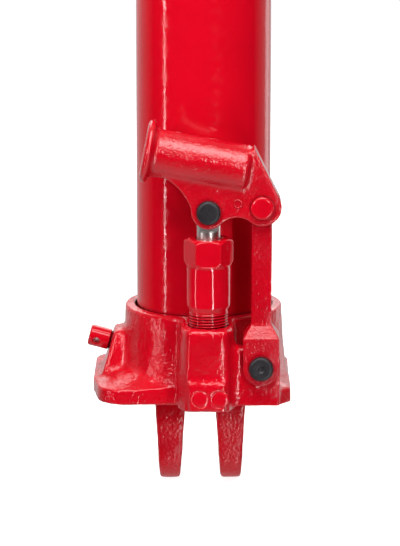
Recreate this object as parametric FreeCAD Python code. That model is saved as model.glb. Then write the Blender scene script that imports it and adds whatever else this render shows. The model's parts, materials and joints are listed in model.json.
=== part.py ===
import FreeCAD, Part
import math
import os

# A two-stage telescopic hydraulic cylinder with a built-in hand pump, as used on a workshop crane.
# Millimetres. The origin is the centre of the lower clevis pin bore. +Z runs up the cylinder's axis,
# -Y is the side that carries the pump, and +X is the clevis pin's axis.
# Each function makes one piece (one node), and the table at the end names and writes them.

V = FreeCAD.Vector
X, Y, Z = V(1, 0, 0), V(0, 1, 0), V(0, 0, 1)

# ---- clearances -----------------------------------------------------------------------------
RUN = 0.05            # radial running clearance between pieces that move on each other
SEAT = 0.03           # radial gap between pieces that stay together
FACE = 0.1            # gap between end faces that come to rest on each other

# ---- base casting ---------------------------------------------------------------------------
PIN_BORE_R = 8.25     # clevis bore for a 16 mm pin
EAR_HALF = 15.0       # half width and end radius of each clevis ear
EAR_OUT = (26.7, 23.4)    # outer face of an ear: at the plate, at the tip
EAR_IN = (7.6, 11.4)      # inner face of an ear: at the plate, at the tip
EAR_SHIFT = -1.8          # the cast ears stand a little to the left of the cylinder's axis
PLATE_Z = 39.0        # underside of the base plate
PLATE_EDGE = 8.7      # thickness of the plate at its edge
PLATE_CROWN_Z = 54.5  # height that the plate's top slopes up to
COLLAR_TOP = 89.0
TUBE_SEAT_Z = 75.0    # floor of the oil tank and seat of the tank tube
CYL_SEAT_Z = 62.0     # seat of the pressure cylinder

# ---- tank, pressure cylinder, head nut ------------------------------------------------------
TANK_R, TANK_WALL = 38.0, 2.5
TANK_TOP = 415.0
CYL_R, CYL_BORE_R = 29.0, 25.0
CYL_TOP = 405.0
GASKET = 2.0
SEAL_RING = 1.5
NUT_SPIGOT_Z, NUT_TOP = 385.0, 431.0
FILLER_Z, FILLER_R = 362.0, 5.0

# ---- rams -----------------------------------------------------------------------------------
STAGE1_R, STAGE1_BORE_R = 22.0, 18.0
STAGE1_TOP = 436.0
PISTON1_FLOOR, PISTON1_TOP = 78.0, 104.0
GLAND_Z0, GLAND_Z1 = 398.0, 430.0
STAGE2_R = 14.0
PISTON2_Z0, PISTON2_TOP = 78.3, 100.0
ROD_SHOULDER = 452.0
EYE_Z, EYE_R, EYE_HALF = 490.0, 18.0, 15.0

# ---- hand pump ------------------------------------------------------------------------------
PUMP_X, PUMP_Y = 2.7, -57.0   # pump axis, also the centre plane of the lever linkage
BOSS_TOP = 88.7
THREAD_R, THREAD_PITCH = 11.0, 1.5
HEX_AF, HEX_Z0, HEX_Z1 = 24.0, 123.5, 137.75
PUMP_BODY_R = 12.2
PLUNGER_R = 6.5
TONGUE_Z = 142.0      # start of the plunger's flats
SUCTION_X = -1.8      # vertical plane of the suction gallery
DELIVERY_X = 9.2      # vertical plane of the delivery gallery
GALLERY_Z = 49.5
BALL_R = 2.5
SEAT_HOLE_R = 1.5
VALVE_R = 3.5         # valve chambers
PLUG_R = 4.0          # M8 plugs and screws
SPRING_WIRE_R, SPRING_R = 0.35, 2.1

# ---- lever linkage --------------------------------------------------------------------------
PIN_C = (2.7, 153.5)     # plunger pin, x and z
PIN_A = (32.2, 156.1)    # pin between the handle socket and the link
PIN_B = (31.8, 66.05)    # pin between the link and the base
PIN_R, PIN_B_R = 4.0, 4.5
PIN_B_PLAY = 1.25        # extra bore radius in the lug
CHEEK, CHEEK_GAP = 8.5, 4.25    # handle socket: outer half width, half gap
BOSS_C_R, BOSS_A_R = 9.8, 10.8
LINK_T = 8.0
LINK_W = 11.5
FORK_OUT, FORK_IN, FORK_HALF_W = 10.5, 5.5, 10.2
LUG_HALF_T = 5.0
BARREL_X, BARREL_Z = -2.0, 180.9    # a point on the handle socket's axis
BARREL_TILT = 10.65                 # degrees, the mouth end is the higher one
BARREL_R, BARREL_BORE_R = 13.6, 11.0
RIM_R, RIM_W = 17.75, 4.6
BARREL_BACK, BARREL_FRONT = 31.5, 27.0    # lengths from that point to the mouth and to the end

# ---- release valve --------------------------------------------------------------------------
RELEASE_X, RELEASE_Z = -53.3, 66.5    # where its axis leaves the boss
RELEASE_TILT = 15.0                   # degrees above horizontal, towards -X
SPINDLE_R, SPINDLE_OUT = 6.0, 12.5
SPINDLE_THREAD_R = 5.0
RELEASE_SEAT = 20.0                   # depth of the valve seat
CROSS_HOLE_R, CROSS_HOLE_S = 2.1, 8.0
CROSS_HOLE_DIP = 18.0                 # degrees that its front end points below horizontal


# ---- helpers --------------------------------------------------------------------------------
def pt(x, y, z):
    return V(x, y, z)


def wire_of(points):
    """Closed wire through 3-D points. A tuple (mid, end) instead of a point is an arc."""
    edges, here = [], points[0]
    for item in list(points[1:]) + [points[0]]:
        if isinstance(item, tuple):
            edges.append(Part.Arc(here, item[0], item[1]).toShape())
            here = item[1]
        elif here.distanceToPoint(item) > 1e-6:
            edges.append(Part.makeLine(here, item))
            here = item
    return Part.Wire(edges)


def on_plane(outline, to_3d):
    """Turn an outline of 2-D points and ("arc", mid, end) entries into 3-D points."""
    out = []
    for item in outline:
        if item[0] == "arc":
            out.append((to_3d(*item[1]), to_3d(*item[2])))
        else:
            out.append(to_3d(*item))
    return out


def prism_xy(outline, z0, z1):
    face = Part.Face(wire_of(on_plane(outline, lambda x, y: pt(x, y, z0))))
    return face.extrude(V(0, 0, z1 - z0))


def prism_xz(outline, y0, y1):
    face = Part.Face(wire_of(on_plane(outline, lambda x, z: pt(x, y0, z))))
    return face.extrude(V(0, y1 - y0, 0))


def prism_yz(outline, x0, x1):
    face = Part.Face(wire_of(on_plane(outline, lambda y, z: pt(x0, y, z))))
    return face.extrude(V(x1 - x0, 0, 0))


def box(x0, x1, y0, y1, z0, z1):
    return Part.makeBox(x1 - x0, y1 - y0, z1 - z0, pt(x0, y0, z0))


def disc(r, z0, z1, x=0.0, y=0.0):
    return Part.makeCylinder(r, z1 - z0, pt(x, y, z0), Z)


def ring(r_out, r_in, z0, z1, x=0.0, y=0.0):
    return disc(r_out, z0, z1, x, y).cut(disc(r_in, z0 - 1, z1 + 1, x, y))


def bar(p, q, r):
    """Cylinder of radius r from point p to point q."""
    d = q - p
    return Part.makeCylinder(r, d.Length, p, d)


def turned(profile, origin=V(0, 0, 0), axis=Z):
    """Solid of revolution: profile is a list of (radius, distance along the axis)."""
    face = Part.Face(wire_of([pt(r, 0, h) for r, h in profile]))
    solid = face.revolve(V(0, 0, 0), Z, 360)
    turn = FreeCAD.Rotation(Z, axis)
    solid.Placement = FreeCAD.Placement(origin, turn)
    return solid


def joined(shapes):
    out = shapes[0]
    for s in shapes[1:]:
        out = out.fuse(s)
    return out.removeSplitter()


def drilled(shape, cuts):
    for c in cuts:
        shape = shape.cut(c)
    return shape


def helix_spring(r, z0, z1, turns, x, y):
    """Compression spring along Z: r is the coil's mean radius, z0 and z1 its outer ends."""
    low, high = z0 + SPRING_WIRE_R, z1 - SPRING_WIRE_R
    path = Part.makeHelix((high - low) / turns, high - low, r)
    path.translate(pt(x, y, low))
    start = path.Edges[0].valueAt(path.Edges[0].FirstParameter)
    section = Part.Wire(Part.makeCircle(SPRING_WIRE_R, start, Y))
    return Part.Wire(path.Edges).makePipeShell([section], True, False)


def release_point(s):
    """Point on the release valve's axis, s mm inward from the boss's face."""
    t = math.radians(RELEASE_TILT)
    return pt(RELEASE_X + s * math.cos(t), 0, RELEASE_Z - s * math.sin(t))


def release_turned(profile):
    """Solid of revolution about the release valve's axis, with heights measured inward."""
    return turned(profile, release_point(0), release_point(1) - release_point(0))


def seat_ball_z(seat_z, side):
    """Centre height of a ball on the edge of its seat hole, above (1) or below (-1) it."""
    return seat_z + side * (math.sqrt(BALL_R ** 2 - SEAT_HOLE_R ** 2) + FACE)


# ---- base casting ---------------------------------------------------------------------------
SUCTION_SEAT_Z, DELIVERY_SEAT_Z, OVERLOAD_SEAT_Z = 54.0, 58.0, 57.0
TANK_HOLE_Y = 32.25       # passages in the tank floor stand this far from the axis
CYL_HOLE_Y = 22.0         # passages in the cylinder floor
RETURN_Z = 46.0           # overload return gallery
PAD_FACE = -73.0
PLUG_LENGTH = 8.0


def ear(side):
    root, tip = PLATE_Z + 3, -EAR_HALF
    front = [(EAR_SHIFT + side * EAR_IN[0], root), (EAR_SHIFT + side * EAR_OUT[0], root),
             (EAR_SHIFT + side * EAR_OUT[1], tip), (EAR_SHIFT + side * EAR_IN[1], tip)]
    end = [(-EAR_HALF, PLATE_Z + 3), (-EAR_HALF, 0),
           ("arc", (0, -EAR_HALF), (EAR_HALF, 0)), (EAR_HALF, PLATE_Z + 3)]
    solid = prism_xz(front, -EAR_HALF, EAR_HALF).common(prism_yz(end, -30, 30))
    rims = [e for e in solid.Edges if e.BoundBox.ZMin < -1 and e.BoundBox.XLength < 4.5]
    return solid.makeFillet(1.6, rims)


PLATE_OUTLINE = [(-63, 34), ("arc", (-59.8, 41.8), (-52, 45)), (40, 45), (49.4, 36), (49.4, -38),
                 (43, -46), (-46, -46), ("arc", (-55.5, -41.5), (-60.3, -32)), (-63, -14)]


def plate():
    lip = PLATE_Z + PLATE_EDGE
    slab = prism_xy(PLATE_OUTLINE, PLATE_Z, lip)
    low = wire_of(on_plane(PLATE_OUTLINE, lambda x, y: pt(x, y, lip)))
    k = 0.72
    high = wire_of(on_plane(PLATE_OUTLINE, lambda x, y: pt(k * x, k * y, PLATE_CROWN_Z)))
    crown = Part.makeLoft([low, high], True, True)
    rise = prism_xz([(-46, lip - 1), (-13, lip - 1), (-13, lip + 3), (-46, lip)], -46, -30)
    return [slab, crown, rise]


def collar():
    wall = Part.BSplineCurve()
    wall.interpolate([pt(44.9, 0, 85.5), pt(45.3, 0, 76), pt(46.5, 0, 61), pt(49.6, 0, 43)])
    corner = [pt(49.6, 0, PLATE_Z + 1), pt(0, 0, PLATE_Z + 1), pt(0, 0, COLLAR_TOP),
              pt(43.4, 0, COLLAR_TOP), pt(44.5, 0, 88.3), pt(44.9, 0, 85.5)]
    edges = [wall.toShape(), Part.makeLine(pt(49.6, 0, 43), corner[0])]
    edges += [Part.makeLine(a, b) for a, b in zip(corner[:3], corner[1:4])]
    edges.append(Part.Arc(corner[3], corner[4], corner[5]).toShape())
    return Part.Face(Part.Wire(edges)).revolve(V(0, 0, 0), Z, 360)


def pump_boss():
    foot_z, top, r = PLATE_Z + 2, BOSS_TOP, 3.0
    q = r * (1 - math.sqrt(0.5))      # how far a quarter round's middle stands inside its corner
    front = [(-14.8, foot_z), (-13, top - r), ("arc", (-13 + q, top - q), (-13 + r, top)),
             (17.2 - r, top), ("arc", (17.2 - q, top - q), (17.2, top - r)), (19, foot_z)]
    side = [(-38, foot_z), (-69.2, foot_z), (-73, top - r), ("arc", (-73 + q, top - q), (-73 + r, top)),
            (-38, top)]
    plan = [(-14.8, -38), (-14.8, -59.9), (-8.2, -73), (13, -73), (19, -53.9), (19, -38)]
    block = prism_xz(front, -74, -38).common(prism_yz(side, -15, 20)).common(prism_xy(plan, 40, 90))
    pad = prism_yz([(-60, 42), (PAD_FACE, 42), (PAD_FACE, 57.6), (PAD_FACE + 2.6, 60.6), (-60, 60.6)],
                   -8.4, 12.3)
    return [block, pad]


def link_lug():
    x, z = PIN_B
    side = [(12, 43), (x + 11, 43), (x + 11, z + 3), ("arc", (x + 8, z + 8), (x + 3, z + 10.4)),
            (12, z + 10.4)]
    plate_part = prism_xz(side, PUMP_Y - LUG_HALF_T, PUMP_Y + LUG_HALF_T)
    root = box(12, x + 11, PUMP_Y, -40, 43, 53)
    return [plate_part, root]


def release_boss():
    side = [(-38, 76.4), (-51.1, 73.9), (-59.4, 46), (-38, 46)]
    flare = [(-9.8, 78), (9.8, 78), (19.5, 46), (-19.5, 46)]
    block = prism_xz(side, -20, 20).common(prism_yz(flare, -62, -36))
    crest = [e for e in block.Edges if e.BoundBox.ZMin > 73 and e.BoundBox.XLength > 8]
    block = block.makeFillet(4.5, crest)
    corners = [e for e in block.Edges if e.BoundBox.XMax < -50.5 and e.BoundBox.ZLength > 15]
    return [block.makeFillet(2.2, corners)]


def passages():
    pad = PAD_FACE - 1
    floor = CYL_SEAT_Z + 1
    cuts = [
        # suction: tank floor, gallery, seat, chamber
        disc(2.2, GALLERY_Z, TUBE_SEAT_Z + 1, SUCTION_X, -TANK_HOLE_Y),
        bar(pt(SUCTION_X, pad, GALLERY_Z), pt(SUCTION_X, -TANK_HOLE_Y, GALLERY_Z), 2.2),
        disc(SEAT_HOLE_R, GALLERY_Z, SUCTION_SEAT_Z + 1, SUCTION_X, PUMP_Y),
        disc(VALVE_R, SUCTION_SEAT_Z, floor, SUCTION_X, PUMP_Y),
        # delivery: seat, chamber, gallery, cylinder floor
        disc(SEAT_HOLE_R, DELIVERY_SEAT_Z - 1, floor, DELIVERY_X, PUMP_Y),
        disc(VALVE_R, PLATE_Z, DELIVERY_SEAT_Z, DELIVERY_X, PUMP_Y),
        disc(PLUG_R, PLATE_Z, 47.0, DELIVERY_X, PUMP_Y),
        bar(pt(DELIVERY_X, pad, GALLERY_Z), pt(DELIVERY_X, -CYL_HOLE_Y, GALLERY_Z), 2.0),
        disc(2.0, GALLERY_Z, floor, DELIVERY_X, -CYL_HOLE_Y),
        # overload: seat, chamber, return gallery, tank floor
        disc(SEAT_HOLE_R, OVERLOAD_SEAT_Z - 1, floor, 0, CYL_HOLE_Y),
        disc(VALVE_R, PLATE_Z - 1, OVERLOAD_SEAT_Z, 0, CYL_HOLE_Y),
        disc(PLUG_R, PLATE_Z - 1, 43.5, 0, CYL_HOLE_Y),
        bar(pt(0, 46, RETURN_Z), pt(0, CYL_HOLE_Y, RETURN_Z), 2.0),
        disc(2.2, RETURN_Z, TUBE_SEAT_Z + 1, 0, TANK_HOLE_Y),
        # release: seat hole to the cylinder floor, chamber to the tank floor
        bar(release_point(RELEASE_SEAT - 1), release_point(RELEASE_SEAT + 12), SEAT_HOLE_R),
        disc(1.8, 57.0, floor, -23, 0),
        disc(1.5, 62.0, TUBE_SEAT_Z + 1, -34, 0),
    ]
    for x in (SUCTION_X, DELIVERY_X):
        cuts.append(bar(pt(x, pad, GALLERY_Z), pt(x, PAD_FACE + PLUG_LENGTH, GALLERY_Z), PLUG_R))
    cuts.append(bar(pt(0, 46, RETURN_Z), pt(0, 45 - PLUG_LENGTH, RETURN_Z), PLUG_R))
    return cuts


def base_casting():
    solid = joined([collar()] + plate() + [ear(1), ear(-1)] + pump_boss() + link_lug() + release_boss())
    release_bore = release_turned([(0, -20), (SPINDLE_THREAD_R + RUN, -20), (SPINDLE_THREAD_R + RUN, 11),
                                   (4.0, 11), (4.0, RELEASE_SEAT), (0, RELEASE_SEAT)])
    tank_seat = turned([(0, TUBE_SEAT_Z), (TANK_R + SEAT, TUBE_SEAT_Z), (TANK_R + SEAT, 82.5),
                        (TANK_R + 0.9, 83.4), (TANK_R + 0.9, 88.2), (TANK_R + 1.7, 88.95),
                        (TANK_R + 1.7, 100), (0, 100)])
    cuts = [
        bar(pt(-40, 0, 0), pt(40, 0, 0), PIN_BORE_R),
        tank_seat,
        disc(CYL_R + SEAT, CYL_SEAT_Z, TUBE_SEAT_Z + 1),
        disc(THREAD_R, CYL_SEAT_Z, 100, PUMP_X, PUMP_Y),
        bar(pt(PIN_B[0], -80, PIN_B[1]), pt(PIN_B[0], -50, PIN_B[1]), PIN_B_R + PIN_B_PLAY),
        release_bore,
    ]
    return drilled(solid, cuts + passages())


# ---- tank, pressure cylinder and head -------------------------------------------------------
def reservoir_tube():
    tube = ring(TANK_R, TANK_R - TANK_WALL, TUBE_SEAT_Z + GASKET, TANK_TOP)
    return tube.cut(bar(pt(0, 0, FILLER_Z), pt(60, 0, FILLER_Z), FILLER_R))


def reservoir_bottom_seal():
    return ring(TANK_R - SEAT, TANK_R - TANK_WALL + 0.2, TUBE_SEAT_Z, TUBE_SEAT_Z + GASKET)


def reservoir_top_seal():
    return ring(TANK_R - 0.3, TANK_R - TANK_WALL, TANK_TOP, TANK_TOP + GASKET)


def pressure_cylinder():
    return ring(CYL_R, CYL_BORE_R, CYL_SEAT_Z + SEAL_RING, CYL_TOP)


def cylinder_bottom_seal():
    return ring(CYL_R - SEAT, CYL_BORE_R + 0.2, CYL_SEAT_Z, CYL_SEAT_Z + SEAL_RING)


HEAD_SEAL = (410.0, 416.0, 26.0)     # groove: bottom, top, outer radius
HEAD_WIPER_Z, HEAD_WIPER_R = 424.5, 26.0


def head_nut():
    flange_z = TANK_TOP + GASKET
    bore = STAGE1_R + RUN
    z0, z1, groove_r = HEAD_SEAL
    solid = turned([
        (CYL_R + SEAT, NUT_SPIGOT_Z), (TANK_R - TANK_WALL - SEAT, NUT_SPIGOT_Z),
        (TANK_R - TANK_WALL - SEAT, flange_z), (TANK_R, flange_z), (TANK_R, NUT_TOP - 2.5),
        (TANK_R - 2.5, NUT_TOP), (HEAD_WIPER_R, NUT_TOP), (HEAD_WIPER_R, HEAD_WIPER_Z),
        (bore, HEAD_WIPER_Z), (bore, z1), (groove_r, z1), (groove_r, z0), (bore, z0),
        (bore, CYL_TOP + FACE), (CYL_R + SEAT, CYL_TOP + FACE)])
    holes = [disc(3.25, NUT_TOP - 6, NUT_TOP + 1, 32 * math.cos(a), 32 * math.sin(a))
             for a in (math.radians(45 + 90 * i) for i in range(4))]
    return drilled(solid, holes)


def head_nut_seal():
    z0, z1, groove_r = HEAD_SEAL
    return ring(groove_r - SEAT, STAGE1_R + RUN, z0 + FACE, z1 - FACE)


def lip_ring(r_out, r_in, z0, z1):
    """Wiper: a flat ring with a raised, sloping inner lip that stands above its recess."""
    return turned([(r_out, z0), (r_out, z1), (r_in + 1.6, z1), (r_in + 0.9, z1 + 1.2),
                   (r_in, z1 + 1.2), (r_in, z0)])


def head_nut_wiper():
    return lip_ring(HEAD_WIPER_R - SEAT, STAGE1_R + RUN, HEAD_WIPER_Z, NUT_TOP)


def filler_plug():
    stem = FILLER_R - SEAT
    inside, wall = TANK_R - TANK_WALL, TANK_R
    profile = [(0, inside - 4), (3.6, inside - 4), (FILLER_R + 1.2, inside - 1.4), (stem, inside - 0.5),
               (stem, wall + 0.4), (7.5, wall + 0.4), (7.5, wall + 2.2), (6.3, wall + 3.4), (0, wall + 3.4)]
    return turned(profile, pt(0, 0, FILLER_Z), X)


# ---- first stage ----------------------------------------------------------------------------
PISTON1_SEAL = (67.0, 73.0, 20.0)       # groove: bottom, top, inner radius
PISTON1_GUIDE = (86.0, 96.0, 23.4)
GLAND_SEAL = (410.0, 416.0, 16.4)       # groove: bottom, top, outer radius
GLAND_O_RING = (402.0, 405.0, 16.2)     # groove: bottom, top, inner radius
GLAND_WIPER_Z, GLAND_WIPER_R = 424.0, 16.8
SNAP_R = 19.2
FEED_R = 3.0


def first_stage_piston():
    r = CYL_BORE_R - RUN
    s0, s1, sr = PISTON1_SEAL
    g0, g1, gr = PISTON1_GUIDE
    foot_z = CYL_SEAT_Z + FACE
    return turned([
        (FEED_R, foot_z), (10, foot_z), (10, foot_z + 2), (r - 1.5, foot_z + 2), (r, foot_z + 3.5),
        (r, s0), (sr, s0), (sr, s1), (r, s1), (r, g0), (gr, g0), (gr, g1), (r, g1),
        (r, PISTON1_TOP - 1), (r - 1, PISTON1_TOP), (STAGE1_R + SEAT, PISTON1_TOP),
        (STAGE1_R + SEAT, PISTON1_FLOOR), (FEED_R, PISTON1_FLOOR)])


def first_stage_piston_seal():
    z0, z1, r = PISTON1_SEAL
    return ring(CYL_BORE_R - RUN, r + SEAT, z0 + FACE, z1 - FACE)


def first_stage_guide_ring():
    z0, z1, r = PISTON1_GUIDE
    return ring(CYL_BORE_R - RUN, r + SEAT, z0 + FACE, z1 - FACE)


def first_stage_tube():
    snap_z = GLAND_Z1
    return turned([
        (STAGE1_BORE_R, PISTON1_FLOOR), (STAGE1_R, PISTON1_FLOOR), (STAGE1_R, STAGE1_TOP - 1.5),
        (STAGE1_R - 1.5, STAGE1_TOP), (STAGE1_BORE_R + 1, STAGE1_TOP), (STAGE1_BORE_R, STAGE1_TOP - 1),
        (STAGE1_BORE_R, snap_z + 1.6), (SNAP_R + 0.1, snap_z + 1.6), (SNAP_R + 0.1, snap_z),
        (STAGE1_BORE_R, snap_z)])


def first_stage_gland():
    r, bore = STAGE1_BORE_R - SEAT, STAGE2_R + RUN
    s0, s1, sr = GLAND_SEAL
    o0, o1, o_r = GLAND_O_RING
    return turned([
        (bore, GLAND_Z0), (r - 1, GLAND_Z0), (r, GLAND_Z0 + 1), (r, o0), (o_r, o0), (o_r, o1), (r, o1),
        (r, GLAND_Z1), (GLAND_WIPER_R, GLAND_Z1), (GLAND_WIPER_R, GLAND_WIPER_Z), (bore, GLAND_WIPER_Z),
        (bore, s1), (sr, s1), (sr, s0), (bore, s0)])


def gland_rod_seal():
    z0, z1, r = GLAND_SEAL
    return ring(r - SEAT, STAGE2_R + RUN, z0 + FACE, z1 - FACE)


def gland_o_ring():
    z0, z1, r = GLAND_O_RING
    return ring(STAGE1_BORE_R - SEAT, r + SEAT, z0 + FACE, z1 - FACE)


def gland_wiper():
    return lip_ring(GLAND_WIPER_R - SEAT, STAGE2_R + RUN, GLAND_WIPER_Z, GLAND_Z1)


def gland_snap_ring():
    body = ring(SNAP_R, GLAND_WIPER_R + 0.2, GLAND_Z1 + FACE, GLAND_Z1 + 1.5)
    return body.cut(box(-3, 3, 10, 30, GLAND_Z1 - 1, GLAND_Z1 + 3))


# ---- second stage ---------------------------------------------------------------------------
PISTON2_SEAL = (83.0, 88.0, 14.6)
PISTON2_GUIDE = (90.5, 96.5, 16.4)
SPIGOT_R, SPIGOT_Z = 9.0, 82.3
NECK_R, NECK_TOP = 10.0, 472.0
NECK_GROOVE = (459.8, 466.2, 8.0)
EYE_SCREW_Z, EYE_SCREW_R = 463.0, 3.0


def second_stage_piston():
    r = STAGE1_BORE_R - RUN
    s0, s1, sr = PISTON2_SEAL
    g0, g1, gr = PISTON2_GUIDE
    return turned([
        (0, PISTON2_Z0), (r - 1.5, PISTON2_Z0), (r, PISTON2_Z0 + 1.5), (r, s0), (sr, s0), (sr, s1),
        (r, s1), (r, g0), (gr, g0), (gr, g1), (r, g1), (r, PISTON2_TOP - 1), (r - 1, PISTON2_TOP),
        (SPIGOT_R + SEAT, PISTON2_TOP), (SPIGOT_R + SEAT, SPIGOT_Z), (0, SPIGOT_Z)])


def second_stage_piston_seal():
    z0, z1, r = PISTON2_SEAL
    return ring(STAGE1_BORE_R - RUN, r + SEAT, z0 + FACE, z1 - FACE)


def second_stage_guide_ring():
    z0, z1, r = PISTON2_GUIDE
    return ring(STAGE1_BORE_R - RUN, r + SEAT, z0 + FACE, z1 - FACE)


def second_stage_rod():
    n0, n1, nr = NECK_GROOVE
    return turned([
        (0, SPIGOT_Z), (SPIGOT_R, SPIGOT_Z), (SPIGOT_R, PISTON2_TOP), (STAGE2_R, PISTON2_TOP),
        (STAGE2_R, ROD_SHOULDER - 1), (STAGE2_R - 1, ROD_SHOULDER), (NECK_R, ROD_SHOULDER),
        (NECK_R, n0), (nr, n0), (nr, n1), (NECK_R, n1), (NECK_R, NECK_TOP - 1), (NECK_R - 1, NECK_TOP),
        (0, NECK_TOP)])


def head_eye():
    skirt_z, skirt_top, skirt_r = ROD_SHOULDER + FACE, 470.0, 20.0
    skirt = turned([(0, skirt_z), (skirt_r - 1.5, skirt_z), (skirt_r, skirt_z + 1.5),
                    (skirt_r, skirt_top - 2), (skirt_r - 2, skirt_top), (0, skirt_top)])
    side = [(-EYE_R, skirt_top - 6), (-EYE_R, EYE_Z), ("arc", (0, EYE_Z + EYE_R), (EYE_R, EYE_Z)),
            (EYE_R, skirt_top - 6)]
    tongue = prism_yz(side, -EYE_HALF, EYE_HALF)
    rims = [e for e in tongue.Edges if e.BoundBox.XLength < 0.1 and e.BoundBox.ZMax > skirt_top]
    tongue = tongue.makeFillet(1.5, rims).common(disc(skirt_r + 2, skirt_z, EYE_Z + EYE_R + 1))
    cuts = [disc(NECK_R + RUN, skirt_z - 1, NECK_TOP + 0.3),
            bar(pt(-40, 0, EYE_Z), pt(40, 0, EYE_Z), PIN_BORE_R)]
    for s in (1, -1):
        cuts.append(bar(pt(0, 0, EYE_SCREW_Z), pt(0, s * 30, EYE_SCREW_Z), EYE_SCREW_R))
    return drilled(skirt.fuse(tongue), cuts)


def head_eye_screws():
    tip, end = NECK_GROOVE[2] + 0.2, 18.6
    r = EYE_SCREW_R - SEAT
    one = turned([(0, tip), (2.0, tip), (r, tip + 1), (r, end), (1.6, end), (1.6, end - 2.5),
                  (0, end - 2.5)], pt(0, 0, EYE_SCREW_Z), Y)
    other = one.mirror(V(0, 0, 0), Y)
    return Part.makeCompound([one, other])


# ---- hand pump ------------------------------------------------------------------------------
PUMP_FOOT_Z = CYL_SEAT_Z + SEAL_RING
PUMP_SEAL = (130.0, 134.5, 9.0)     # groove: bottom, top, outer radius
PLUNGER_Z0 = 70.0
PLUNGER_GROOVE = (73.0, 77.4, 4.8)
PLUNGER_SEAL_TOP = 76.0


def thread_profile(r, depth, z0, z1):
    """Points up a threaded stretch, as grooves of the thread's pitch."""
    count = int((z1 - z0) / THREAD_PITCH)
    pitch = (z1 - z0) / count
    points = []
    for i in range(count):
        z = z0 + i * pitch
        points += [(r, z + 0.12 * pitch), (r - depth, z + 0.5 * pitch), (r, z + 0.88 * pitch)]
    return points


def pump_body():
    r, bore = THREAD_R - SEAT, PLUNGER_R + RUN
    profile = [(bore, PUMP_FOOT_Z), (r - 1, PUMP_FOOT_Z), (r, PUMP_FOOT_Z + 1), (r, BOSS_TOP)]
    profile += thread_profile(r, 0.75, BOSS_TOP, 96.9)
    profile += [(r, 96.9), (PUMP_BODY_R, 99.0), (PUMP_BODY_R, HEX_Z0), (bore, HEX_Z0)]
    barrel = turned(profile, pt(PUMP_X, PUMP_Y, 0))
    corner = HEX_AF / math.sqrt(3)
    hexagon = [(PUMP_X + corner * math.cos(math.radians(60 * i)),
                PUMP_Y + corner * math.sin(math.radians(60 * i))) for i in range(6)]
    turned_hex = turned([(0, HEX_Z0), (11.9, HEX_Z0), (corner, HEX_Z0 + 1.2), (corner, HEX_Z1 - 1.2),
                         (11.9, HEX_Z1), (0, HEX_Z1)], pt(PUMP_X, PUMP_Y, 0))
    head = prism_xy(hexagon, HEX_Z0, HEX_Z1).common(turned_hex)
    z0, z1, groove_r = PUMP_SEAL
    head = drilled(head, [disc(bore, HEX_Z0 - 1, HEX_Z1 + 1, PUMP_X, PUMP_Y),
                          disc(groove_r, z0, z1, PUMP_X, PUMP_Y)])
    return joined([barrel, head])


def pump_body_gasket():
    return ring(THREAD_R - SEAT, 8.6, CYL_SEAT_Z, PUMP_FOOT_Z, PUMP_X, PUMP_Y)


def pump_gland_seal():
    z0, z1, r = PUMP_SEAL
    return ring(r - SEAT, PLUNGER_R + RUN, z0 + FACE, z1 - FACE, PUMP_X, PUMP_Y)


def pump_plunger():
    g0, g1, gr = PLUNGER_GROOVE
    tip = PIN_C[1] + 7.0
    rod = turned([(0, PLUNGER_Z0), (PLUNGER_R - 1, PLUNGER_Z0), (PLUNGER_R, PLUNGER_Z0 + 1),
                  (PLUNGER_R, g0), (gr, g0), (gr, g1), (PLUNGER_R, g1), (PLUNGER_R, tip), (0, tip)],
                 pt(PUMP_X, PUMP_Y, 0))
    for s in (1, -1):
        y0, y1 = sorted((PUMP_Y + s * LINK_T / 2, PUMP_Y + s * 20))
        rod = rod.cut(box(-20, 20, y0, y1, TONGUE_Z, tip + 1))
    x, z = PIN_C
    crown = prism_xz([(x - 7, PLUNGER_Z0 - 1), (x + 7, PLUNGER_Z0 - 1), (x + 7, z),
                      ("arc", (x, z + 7), (x - 7, z))], PUMP_Y - 10, PUMP_Y + 10)
    return rod.common(crown).cut(bar(pt(x, PUMP_Y - 20, z), pt(x, PUMP_Y + 20, z), PIN_R + RUN))


def plunger_seal():
    z0, _, r = PLUNGER_GROOVE
    return ring(PLUNGER_R, r + SEAT, z0 + FACE, PLUNGER_SEAL_TOP, PUMP_X, PUMP_Y)


def plunger_backup_ring():
    _, z1, r = PLUNGER_GROOVE
    return ring(PLUNGER_R, r + SEAT, PLUNGER_SEAL_TOP, z1 - FACE, PUMP_X, PUMP_Y)


def ball(x, y, z):
    return Part.makeSphere(BALL_R, pt(x, y, z))


def suction_ball():
    return ball(SUCTION_X, PUMP_Y, seat_ball_z(SUCTION_SEAT_Z, 1))


def delivery_ball():
    return ball(DELIVERY_X, PUMP_Y, seat_ball_z(DELIVERY_SEAT_Z, -1))


def overload_ball():
    return ball(0, CYL_HOLE_Y, seat_ball_z(OVERLOAD_SEAT_Z, -1))


def spring_top(seat_z):
    """Height where a spring's top coil meets its ball from below."""
    drop = math.sqrt(BALL_R ** 2 - SPRING_R ** 2)
    return seat_ball_z(seat_z, -1) - drop - 0.15


def delivery_spring():
    return helix_spring(SPRING_R, 47.0, spring_top(DELIVERY_SEAT_Z), 5, DELIVERY_X, PUMP_Y)


def overload_spring():
    return helix_spring(SPRING_R, 43.5, spring_top(OVERLOAD_SEAT_Z), 6, 0, CYL_HOLE_Y)


def socket_plug(length):
    """M8 grub screw along +Z from 0, with a hexagon socket in its lower face."""
    angles = [math.radians(60 * i) for i in range(6)]
    hexagon = [(2.3 * math.cos(a), 2.3 * math.sin(a)) for a in angles]
    r = PLUG_R - SEAT
    body = turned([(0, 0), (r - 0.7, 0), (r, 0.7), (r, length), (0, length)])
    return body.cut(prism_xy(hexagon, -1, min(3.5, length - 1.5)))


def placed(shape, origin, axis):
    out = shape.copy()
    out.Placement = FreeCAD.Placement(origin, FreeCAD.Rotation(Z, axis))
    return out


def delivery_plug():
    return placed(socket_plug(5.6), pt(DELIVERY_X, PUMP_Y, 47.0 - 5.6), Z)


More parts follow.
